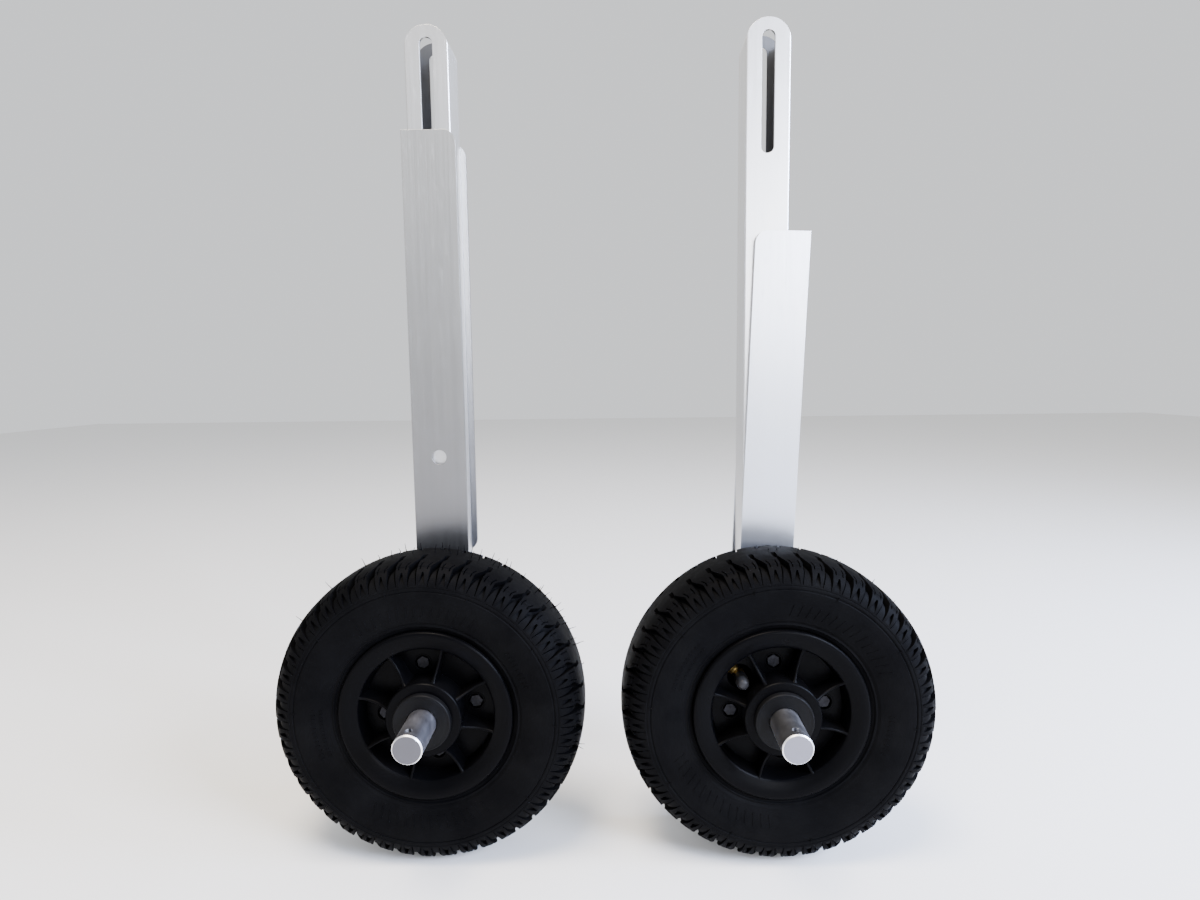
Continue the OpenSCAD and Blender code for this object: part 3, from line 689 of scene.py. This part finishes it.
def make_hairs(side):
    """Pairs of hairs on the blocks' crowns, and a few strays on the shoulders.

    Most stand on the upper right of a tyre. The right tyre has been handled, so few of its hairs
    are left and they are short."""
    rng = np.random.default_rng(21 if side == "left" else 22)
    kept, longest = (0.93, 7.2) if side == "left" else (0.3, 2.6)
    block = np.repeat(np.arange(BLOCKS), 2)
    place = np.tile([-2.2, 2.2], BLOCKS)
    angle = (block + PHASE[side] + 0.5) * 2 * np.pi / BLOCKS + (place + 4.4) / 110
    angle = angle + rng.normal(0, 0.004, len(block))
    z = np.full(len(block), 1.5) + rng.normal(0, 0.5, len(block))
    extra = rng.uniform(0, 2 * np.pi, 26)
    angle = np.concatenate([angle, angle + 0.5 * 2 * np.pi / BLOCKS, extra])
    z = np.concatenate([z, z - 9.5, rng.choice([-28.2, 28.2], len(extra))])
    r = np.interp(np.abs(z), PROFILE[1][:1990], PROFILE[2][:1990]) - 0.3
    out = np.stack([np.sin(angle), np.cos(angle), np.sign(z) * np.clip((np.abs(z) - 20) / 8, 0, 1)], axis=1)
    out += rng.normal(0, 0.12, out.shape)
    out /= np.linalg.norm(out, axis=1, keepdims=True)
    length = rng.uniform(0.5, 1.0, len(angle)) * longest
    bend = rng.normal(0, 0.14, out.shape) * longest
    roots = np.stack([r * np.sin(angle), r * np.cos(angle), z], axis=1)
    tips = roots + out * length[:, None] + bend
    # the box of the object ends at the tyre's sides and at the floor, so no hair is left there
    clock = np.degrees(angle) % 360
    grown = (clock < 112) | (clock > 345) | (rng.random(len(angle)) < 0.12)
    inside_box = (np.abs(tips[:, 0]) < TYRE_R + 0.4) & (tips[:, 1] > GRIP_LINE)
    stay = inside_box & (rng.random(len(angle)) < kept) & grown
    piece = make_piece(f"{side}_vent_hairs", [
        hairs(side, roots[stay], out[stay], length[stay], bend[stay])], 60)
    print(side, int(stay.sum()), "hairs")
    return piece


HAIRS = {side: make_hairs(side) for side in SIDES}

# %% [markdown]
# **The rim.** It is moulded in two halves that meet in the wheel's middle plane. Each half is a
# turned barrel with a rolled lip, a hub, a disc that closes the space between them, and eight thin
# ribs in front of the disc whose front edge dips between hub and lip. Bolts clamp the halves
# through pockets in the disc, and a round window in the front half lets the valve out. The barrel
# and hub are revolved profiles; a rib is a cross-section with a round nose, carried from hub to lip.

# %% Rim sizes
BARREL = [(44.0, 0.05), (44.1, 8.0), (46.4, 14.5), (47.4, 24.4), (48.3, 25.6), (50.4, 26.6),
          (54.2, 28.1), (57.6, 28.8), (59.8, 28.6), (60.9, 27.5), (61.0, 26.2), (60.3, 24.9),
          (58.6, 24.25), (50.3, 24.25), (50.0, 23.9), (50.0, 14.5), (47.0, 11.0), (47.0, 0.05)]
HUB_SECTION = [(14.05, 0.05), (25.0, 0.05), (25.5, 10.0), (26.35, 30.6), (26.3, 32.3),
               (25.4, 33.0), (14.05, 33.0)]
DISC_FRONT, DISC_BACK, DISC_IN, DISC_OUT = 12.0, 8.5, 25.0, 46.6
BOLT_CIRCLE, BOSS_R, POCKET_R, POCKET_Z, BOLT_HOLE = 33.0, 6.5, 5.4, 8.5, 2.65
BOSS_HOLE = 6.2                                  # the disc's hole round a boss
WINDOW_R, WINDOW_PLACE = 8.5, 34.5
STEP = 360 / RIBS
VALVE_GAP = {"left": 4, "right": 6}              # the gap between two ribs that holds the valve
print("rim sections:", len(BARREL), "points for the barrel and", len(HUB_SECTION), "for the hub")


# %% Ribs, disc and bosses
def turned_to(points, clock):
    """Points given as (outwards, sideways, z), turned so that outwards is at a clock angle."""
    a = np.radians(clock)
    out, across, z = points[..., 0], points[..., 1], points[..., 2]
    x, y = out * np.sin(a) + across * np.cos(a), out * np.cos(a) - across * np.sin(a)
    return np.stack([x, y, z], axis=-1)


def rib_shell(side, flip, clock):
    """One rib. u runs from hub to lip and v round the section: up one face, over a round nose, down.

    The front edge is z = z0 + (z1 - z0) u - 4 dish u (1 - u). The thickness has a draft, and a
    flare of exp(-distance / 1.6) at both ends, where a mould has a fillet."""
    u = np.linspace(0, 1, 33)[:, None]
    r = 25.4 + (51.4 - 25.4) * u
    top = 31.0 + (26.9 - 31.0) * u - 4 * 4.1 * u * (1 - u)
    flare = 1 + 0.9 * np.exp(-(r - 25.9) / 1.3) + 1.3 * np.exp(-(51.0 - r) / 1.6)
    nose = np.linspace(0, np.pi, 9)[None, :]
    thin = 0.95 * flare
    foot = 9.6 + 0 * u
    mid = (top + foot) / 2
    width = np.concatenate([
        thin * 1.5, thin * 1.25, thin * np.cos(nose), -thin * 1.25, -thin * 1.5], axis=1)
    height = np.concatenate([foot, mid, top - 0.95 + 0.95 * np.sin(nose), mid, foot], axis=1)
    # the outer end follows the inside of the barrel's wall
    barrel = np.interp(height, [0, 8, 14.5, 24.4, 26.6, 28.1],
                       [45.0, 45.2, 47.6, 48.6, 51.6, 55.5])
    radius = np.minimum(r + 0 * width, barrel)
    faces = grid_faces(len(u), width.shape[1], False, True)
    points = np.stack([radius, width, height], axis=-1)
    return on_wheel(turned_to(points, clock), side, flip), faces


def disc_outline(points_each=12):
    """The edge of one gap's share of the disc, as (outwards, sideways): two arcs and two rib lines."""
    a = np.radians(np.linspace(-STEP / 2, STEP / 2, points_each, endpoint=False))
    r = np.linspace(DISC_OUT, DISC_IN, points_each, endpoint=False)
    end = np.radians(STEP / 2)
    outer = np.stack([DISC_OUT * np.cos(a), DISC_OUT * np.sin(a)], axis=1)
    down = np.stack([r * np.cos(end), r * np.sin(end)], axis=1)
    inner = np.stack([DISC_IN * np.cos(-a), DISC_IN * np.sin(-a)], axis=1)
    up = np.stack([r[::-1] * np.cos(end), -r[::-1] * np.sin(end)], axis=1)
    return np.concatenate([outer, down, inner, up])


def disc_shell(side, flip, clock, hole_at, hole_r):
    """One gap's share of the disc, with a round hole or, where hole_r is 0, without one.

    Each ray runs from the hole's edge to the outline: p = c + d + (outline - c - d) v, where d is the
    hole's radius in the outline's direction. Front and back are joined at both ends, or, without a
    hole, each is left with a small ring that make_piece fills."""
    outline = disc_outline()
    centre = np.array([hole_at, 0.0])
    ray = outline - centre
    ray /= np.linalg.norm(ray, axis=1, keepdims=True)
    edge = centre + (hole_r or 1.0) * ray
    soft = centre + ((hole_r or 1.0) + 0.35) * ray
    rows = [(edge, DISC_FRONT - 0.35 * (hole_r > 0)), (soft, DISC_FRONT),
            ((soft + outline) / 2, DISC_FRONT), (outline, DISC_FRONT),
            (outline, DISC_BACK), (soft, DISC_BACK), (edge, DISC_BACK)]
    points = np.stack([np.column_stack([flat, np.full(len(flat), z)]) for flat, z in rows])
    faces = grid_faces(len(rows), len(outline), hole_r > 0, True)
    return on_wheel(turned_to(points, clock), side, flip), faces


def boss_shell(side, flip, clock):
    """A bolt's boss with its pocket: a closed profile turned about a line at the bolt circle."""
    section = [(BOLT_HOLE, 0.05), (BOLT_HOLE, POCKET_Z), (POCKET_R, POCKET_Z), (POCKET_R, 12.0),
               (5.6, 12.25), (6.3, 12.25), (BOSS_R, 12.0), (BOSS_R, 0.05)]
    a = np.linspace(0, 2 * np.pi, 36, endpoint=False)[:, None]
    r, z = np.array(section).T[:, None, :]
    points = np.stack(np.broadcast_arrays(BOLT_CIRCLE + r * np.cos(a), r * np.sin(a), z), axis=-1)
    faces = grid_faces(36, len(section), True, True)
    return on_wheel(turned_to(points, clock), side, flip), faces


def make_rim_half(side, end):
    """A rim half as one piece: barrel, hub, ribs, disc and bolt bosses. Only the front has a window."""
    flip = 1 if end == "front" else -1
    barrel = soften(BARREL + BARREL[:1], 2)[:-1]
    hub = soften(HUB_SECTION + HUB_SECTION[:1], 1, 0.15)[:-1]
    shells = [revolve(barrel, side, flip, 224), revolve(hub, side, flip, 128)]
    for i in range(RIBS):
        shells.append(rib_shell(side, flip, RIB_TURN[side] + STEP * i))
        middle_clock = RIB_TURN[side] + STEP * (i + 0.5)
        if i % 2 == 1:
            shells.append(disc_shell(side, flip, middle_clock, BOLT_CIRCLE, BOSS_HOLE))
            shells.append(boss_shell(side, flip, middle_clock))
        elif i == VALVE_GAP[side] and end == "front":
            shells.append(disc_shell(side, flip, middle_clock, WINDOW_PLACE, WINDOW_R))
        else:
            shells.append(disc_shell(side, flip, middle_clock, BOLT_CIRCLE, 0.0))
    return make_piece(f"{side}_rim_{end}_moulding", shells, 32)


RIMS = {(side, end): make_rim_half(side, end) for side in SIDES for end in ("front", "rear")}
print("rim half:", len(RIMS["left", "front"].data.polygons) * 2, "triangles")

# %% [markdown]
# **Bushes.** A flanged nylon bush is pressed into each end of the hub. Its flange stands proud of
# the hub with a small round on its edge, which is what catches the light.

# %% Bushes
BUSH_SECTION = [(10.05, 11.0), (13.6, 11.0), (14.0, 11.5), (14.0, 33.0), (19.7, 33.0), (20.0, 33.4),
                (20.0, 36.6), (19.5, 37.4), (18.9, 37.5), (18.5, 37.3), (10.9, 37.3), (10.05, 36.7)]


def make_bush(side, end):
    """The softened section turned about the axle, mirrored for the rear end."""
    section = soften(BUSH_SECTION + BUSH_SECTION[:1], 1, 0.2)[:-1]
    shell = revolve(section, side, 1 if end == "front" else -1, 128)
    return make_piece(f"{side}_bush_{end}_moulding", [shell], 30)


BUSHES = {(side, end): make_bush(side, end) for side in SIDES for end in ("front", "rear")}
print("bush:", len(BUSHES["left", "front"].data.polygons) * 2, "triangles")

# %% [markdown]
# **Valve.** The brass stem comes out of the barrel, turns towards the front and carries a cap. The
# bend is a round section carried along a quarter circle, the neck has turned threads, and the
# cap is a lathe shape whose side has a wave of grip flutes.

# %% Valve stem and cap
VALVE_CLOCK = {side: RIB_TURN[side] + STEP * (VALVE_GAP[side] + 0.45) for side in SIDES}
VALVE_R, STEM_R, BEND_R, NECK_R, THREAD_PITCH = 32.0, 4.0, 3.0, 2.65, 0.9
CAP_Z, CAP_R, FLUTES = 8.0, 4.8, 24


def along_valve(points, side):
    """Points in a valve frame (x outwards, y sideways, z to the front), at the valve's clock angle."""
    a = np.radians(VALVE_CLOCK[side])
    x, y, z = points[..., 0], points[..., 1], points[..., 2]
    across, up = x * np.sin(a) - y * np.cos(a), x * np.cos(a) + y * np.sin(a)
    return on_wheel(np.stack([across, up, z], axis=-1), side)


def stem_shell(side):
    """A tube along a radial run, a quarter bend and a run to the front.

    The centre line is x = R, z = 0 down to the bend, then the arc, then x = VALVE_R; the
    section's radius rises at a collar and carries thread rings on the neck."""
    bend = BEND_R
    run = np.linspace(50.0, VALVE_R + bend, 16)
    arc = np.linspace(0, np.pi / 2, 9)[1:]
    front = np.linspace(bend, 7.6, 8)[1:]
    neck = np.linspace(7.7, 18.0, 60)
    straight = np.full(len(front) + len(neck), VALVE_R)
    x = np.concatenate([run, VALVE_R + bend - bend * np.sin(arc), straight])
    z = np.concatenate([0 * run, bend - bend * np.cos(arc), front, neck])
    tx, tz = np.gradient(x), np.gradient(z)
    size = np.hypot(tx, tz)
    tx, tz = tx / size, tz / size
    radius = np.full(len(x), STEM_R)
    radius[:len(run)] = np.where((run > 38.5) & (run < 41.5), STEM_R + 0.9, STEM_R)
    radius[-len(neck):] = NECK_R + 0.22 * np.abs(((neck - neck[0]) / THREAD_PITCH) % 1 - 0.5) * 2
    a = np.linspace(0, 2 * np.pi, 24, endpoint=False)[None, :]
    points = np.stack(np.broadcast_arrays(
        x[:, None] - radius[:, None] * np.cos(a) * tz[:, None],
        radius[:, None] * np.sin(a),
        z[:, None] + radius[:, None] * np.cos(a) * tx[:, None]), axis=-1)
    return along_valve(points, side), grid_faces(len(x), 24, False, True)


def cap_shell(side):
    """The cap: a lathe profile whose radius waves by a sixth of a millimetre on its straight side."""
    profile = soften([(2.9, 0.4), (4.2, 0.0), (CAP_R, 0.7), (CAP_R, 9.6), (4.3, 11.4), (3.6, 13.6),
                      (2.2, 14.8), (0.02, 15.0)], 2)
    a = np.linspace(0, 2 * np.pi, 96, endpoint=False)[:, None]
    r, z = profile[None, :, 0], profile[None, :, 1]
    r = r + 0.17 * (np.cos(FLUTES * a) - 1) / 2 * ((z > 1.2) & (z < 9.4))
    points = np.stack(np.broadcast_arrays(
        VALVE_R + r * np.cos(a), r * np.sin(a), CAP_Z + z), axis=-1)
    return along_valve(points, side), grid_faces(96, len(profile), True, False)


STEMS = {side: make_piece(f"{side}_brass_stem", [stem_shell(side)], 45) for side in SIDES}
CAPS = {side: make_piece(f"{side}_fluted_cap", [cap_shell(side)], 45) for side in SIDES}
print("valves at clock angles", VALVE_CLOCK)

# %% [markdown]
# **Bars and sheet.** The leg, the channel, the axle and the bolts already have their true shape. What
# they lack is the tiny broken edge that every real part has, which is what makes an edge shine.
# A copy of the CAD mesh is merged, its flat faces are joined, and a bevel of a few tenths of a
# millimetre goes along the edges.

# %% Bevelled copies of CAD parts
def bevelled(node, name, width_mm):
    """A merged copy of a CAD node with its sharp edges broken."""
    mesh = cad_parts[node].data.copy()
    mesh.name = name
    mesh.materials.clear()
    mesh.shade_smooth()
    piece = bpy.data.objects.new(name, mesh)
    bpy.context.scene.collection.objects.link(piece)
    weld = piece.modifiers.new("weld", "WELD")
    weld.merge_threshold = 0.00001
    flat = piece.modifiers.new("flat", "DECIMATE")
    flat.decimate_type = "DISSOLVE"
    flat.angle_limit = math.radians(0.5)
    edge = piece.modifiers.new("edge", "BEVEL")
    edge.width, edge.segments = width_mm * MM, 2
    edge.limit_method, edge.angle_limit = "ANGLE", math.radians(30.0)
    even = piece.modifiers.new("even", "WEIGHTED_NORMAL")
    even.mode, even.keep_sharp = "FACE_AREA_WITH_ANGLE", False
    dg = bpy.context.evaluated_depsgraph_get()
    finished = bpy.data.meshes.new_from_object(piece.evaluated_get(dg))
    finished.name = name
    piece.modifiers.clear()
    piece.data = finished
    return piece


BAR_PARTS = {}
for side in SIDES:
    for node, name, width, material, body, slot_name in (
            ("leg", "leg_tube", 0.25, LEG_FINISH[side], "frame", "leg_tube"),
            ("channel", "channel_section", 0.3, BRACKET_FINISH[side], f"{side}_bracket", "channel"),
            ("axle", "axle_bar", 0.3, AXLE_FINISH[side], "frame", "axle_bar"),
            ("rear_bolt", "rear_hex_bolt", 0.35, BRIGHT_ZINC, "frame", "steel"),
            ("rear_washer", "plain_washer", 0.25, BRIGHT_ZINC, "frame", "steel"),
            ("stop_collar", "collar_ring", 0.4, BRIGHT_ZINC, "frame", "steel"),
            ("rim_bolts", "hex_screws", 0.25, BLACK_OXIDE, f"{side}_wheel", "small_bolts"),
            ("rim_nuts", "hex_nuts", 0.25, BLACK_OXIDE, f"{side}_wheel", "small_bolts")):
        piece = bevelled(f"{side}_{node}", f"{side}_{name}", width)
        BAR_PARTS[f"{side}_{node}"] = (piece, material, body, slot_name)
print(len(BAR_PARTS), "parts with broken edges")

# %% [markdown]
# Every piece now rides on the CAD body that carries it, the CAD node it stands in for, where there is
# one, is hidden, and it takes its material.

# %% Ride, replace and finish
def fit(piece, body, node, material):
    """Puts a piece on its body in place of a CAD node, with its material."""
    piece.data.materials.clear()
    piece.data.materials.append(material)
    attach(piece, body)
    if node:
        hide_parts(node)


for node, (piece, material, body, slot_name) in BAR_PARTS.items():
    fit(piece, body, node, material)
for side in SIDES:
    wheel = f"{side}_wheel"
    fit(TYRES[side][0], wheel, f"{side}_tyre", RUBBER[side])
    for extra in TYRES[side][1:]:
        fit(extra, wheel, None, RUBBER[side])
    fit(HAIRS[side], wheel, None, RUBBER[side])
    for end in ("front", "rear"):
        fit(RIMS[side, end], wheel, f"{side}_rim_{end}", RIM_FINISH)
        fit(BUSHES[side, end], wheel, f"{side}_bush_{end}", BUSH_FINISH)
    fit(STEMS[side], wheel, f"{side}_valve_stem", BRASS)
    fit(CAPS[side], wheel, f"{side}_valve_cap", CAP_FINISH)
    inner_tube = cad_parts[f"{side}_inner_tube"]
    inner_tube.data.materials.clear()
    inner_tube.data.materials.append(TUBE_RUBBER)

# %% [markdown]
# **Camera.** The view is that of someone crouching in front of the pair, a little above the hubs,
# with a wide lens close by. The camera stands half a metre in front of the wheels, so the axles
# point almost at it.

# %% Camera
EYE = np.array([0.0104, HUB["left"][1] - 0.5012, 0.3454])
PITCH, YAW, ROLL = math.radians(6.1), math.radians(-1.2), math.radians(-0.7)
forward = np.array([math.sin(YAW) * math.cos(PITCH), math.cos(YAW) * math.cos(PITCH), -math.sin(PITCH)])
level = np.array([math.cos(YAW), -math.sin(YAW), 0.0])
lift = np.cross(level, forward)
right = math.cos(ROLL) * level + math.sin(ROLL) * lift
up = math.cos(ROLL) * lift - math.sin(ROLL) * level

camera_data = bpy.data.cameras.new("camera")
camera_data.sensor_width = 36.0
camera_data.lens = 21.6
camera_data.clip_start = 0.01
camera = bpy.data.objects.new("camera", camera_data)
turned_axes = Matrix(np.stack([right, up, -forward], axis=1).tolist()).to_4x4()
camera.matrix_world = Matrix.Translation(Vector(EYE)) @ turned_axes
bpy.context.scene.collection.objects.link(camera)
bpy.context.scene.camera = camera
print("camera at", EYE.round(3).tolist())

# %% [markdown]
# **Stage and light.** The floor is plain and pale. Two cool windows stand to the right, one in front
# and one beside the wheels, so the right unit is the brighter one. A soft light behind the viewer
# adds to that, a warm ceiling light is high above, and a pale world fills the shadows.

# %% Stage and lights
floor_mesh = bpy.data.meshes.new("floor")
floor_mesh.from_pydata([(-4, -3, 0), (4, -3, 0), (4, 5, 0), (-4, 5, 0)], [], [(0, 1, 2, 3)])
floor = bpy.data.objects.new("floor", floor_mesh)
bpy.context.scene.collection.objects.link(floor)
floor_mesh.materials.append(
    new_material("pale_floor", Base_Color=linear("#E6E5E3"), Roughness=0.8)[0])

world = bpy.data.worlds.new("pale_room")
world.use_nodes = True
glow = world.node_tree.nodes["Background"]
glow.inputs["Color"].default_value = linear("#F1F3F6")
glow.inputs["Strength"].default_value = 1.1
bpy.context.scene.world = world


def area_light(name, place, target, size, watts, hex_colour):
    """A square area light that looks at a target."""
    data = bpy.data.lights.new(name, "AREA")
    data.size, data.energy, data.color = size, watts, linear(hex_colour)[:3]
    light = bpy.data.objects.new(name, data)
    light.location = place
    light.rotation_mode = "QUATERNION"
    light.rotation_quaternion = (Vector(target) - Vector(place)).to_track_quat("-Z", "Y")
    bpy.context.scene.collection.objects.link(light)


area_light("window", (1.5, -1.1, 1.2), (0, 0, 0.25), 0.8, 120, "#D6E2FF")
area_light("side_window", (1.5, -0.15, 0.75), (0, 0, 0.12), 0.6, 60, "#C4D6FF")
area_light("front_right", (0.85, -2.1, 0.75), (0.15, 0, 0.35), 0.7, 30, "#F4F6FF")
area_light("ceiling", (-0.3, -0.5, 2.1), (0, 0, 0.2), 0.8, 80, "#FFF0DC")
